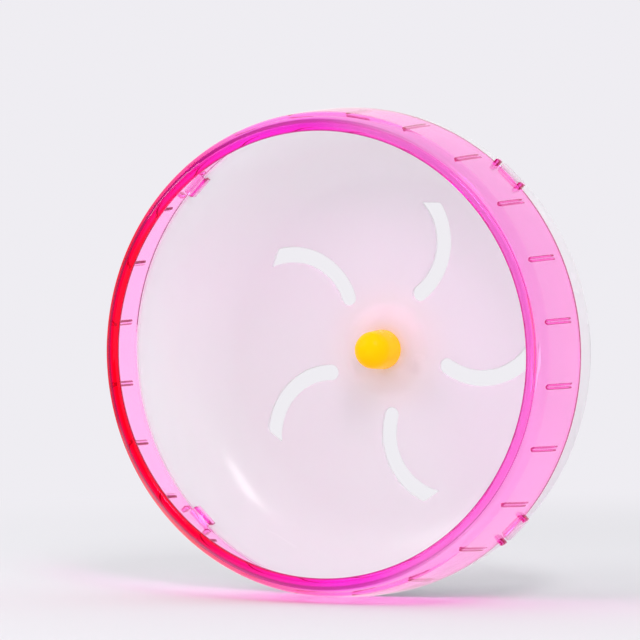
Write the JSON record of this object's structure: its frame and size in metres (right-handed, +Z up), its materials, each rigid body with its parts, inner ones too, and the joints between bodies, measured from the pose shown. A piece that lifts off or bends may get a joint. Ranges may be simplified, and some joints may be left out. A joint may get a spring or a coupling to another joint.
{
  "type": "hamster wheel",
  "caption": "Silent running wheel for a hamster: a clear ribbed ring on a milky dish with curved slots, spinning on a fixed axle.",
  "frame": {"origin": "middle of the mounting plate's flat rear face, on the wheel's axis", "axes": "+Y along the wheel's axis towards the rear, +Z up, +X to the right as seen from the wheel's open front"},
  "size_m": [0.21, 0.1043, 0.21],
  "materials": {
    "clear_pink_plastic": "clear polished tinted plastic",
    "milky_plastic": "glossy, milky and slightly translucent",
    "yellow_plastic": "satin",
    "white_plastic": "fine moulded texture",
    "plated_steel": "zinc plated",
    "bearing_steel": "ground and polished",
    "shield_steel": "pressed sheet",
    "cage_brass": "satin"
  },
  "bodies": {
    "mount": {"mounting_plate": "white_plastic", "axle": "plated_steel", "axle_pin": "plated_steel", "front_bearing_inner_race": "bearing_steel", "rear_bearing_inner_race": "bearing_steel", "inner_spacer": "plated_steel", "front_washer": "plated_steel", "lock_nut": "plated_steel"},
    "wheel": {"track_ring": "clear_pink_plastic", "dish": "milky_plastic", "hub_cap": "yellow_plastic", "front_bearing_outer_race": "bearing_steel", "front_bearing_front_shield": "shield_steel", "front_bearing_rear_shield": "shield_steel", "rear_bearing_outer_race": "bearing_steel", "rear_bearing_front_shield": "shield_steel", "rear_bearing_rear_shield": "shield_steel", "outer_spacer": "plated_steel", "hub_rear_cover": "white_plastic", "cover_screw_1": "plated_steel", "cover_screw_2": "plated_steel", "cover_screw_3": "plated_steel"},
    "front_cage": {"front_ball_cage": "cage_brass", "front_ball_1": "bearing_steel", "front_ball_2": "bearing_steel", "front_ball_3": "bearing_steel", "front_ball_4": "bearing_steel", "front_ball_5": "bearing_steel", "front_ball_6": "bearing_steel", "front_ball_7": "bearing_steel"},
    "rear_cage": {"rear_ball_cage": "cage_brass", "rear_ball_1": "bearing_steel", "rear_ball_2": "bearing_steel", "rear_ball_3": "bearing_steel", "rear_ball_4": "bearing_steel", "rear_ball_5": "bearing_steel", "rear_ball_6": "bearing_steel", "rear_ball_7": "bearing_steel"}
  },
  "joints": [
    {"name": "wheel_spin", "type": "hinge", "parent": "mount", "child": "wheel", "pos_m": [0, 0, 0], "axis": [0, 1, 0], "continuous": true},
    {"name": "front_cage_spin", "type": "hinge", "parent": "mount", "child": "front_cage", "pos_m": [0, -0.0259, 0], "axis": [0, 1, 0], "continuous": true},
    {"name": "rear_cage_spin", "type": "hinge", "parent": "mount", "child": "rear_cage", "pos_m": [0, -0.0163, 0], "axis": [0, 1, 0], "continuous": true}
  ],
  "couplings": [
    {"joint": "front_cage_spin", "follows": "wheel_spin", "ratio": 0.64},
    {"joint": "rear_cage_spin", "follows": "wheel_spin", "ratio": 0.64}
  ]
}
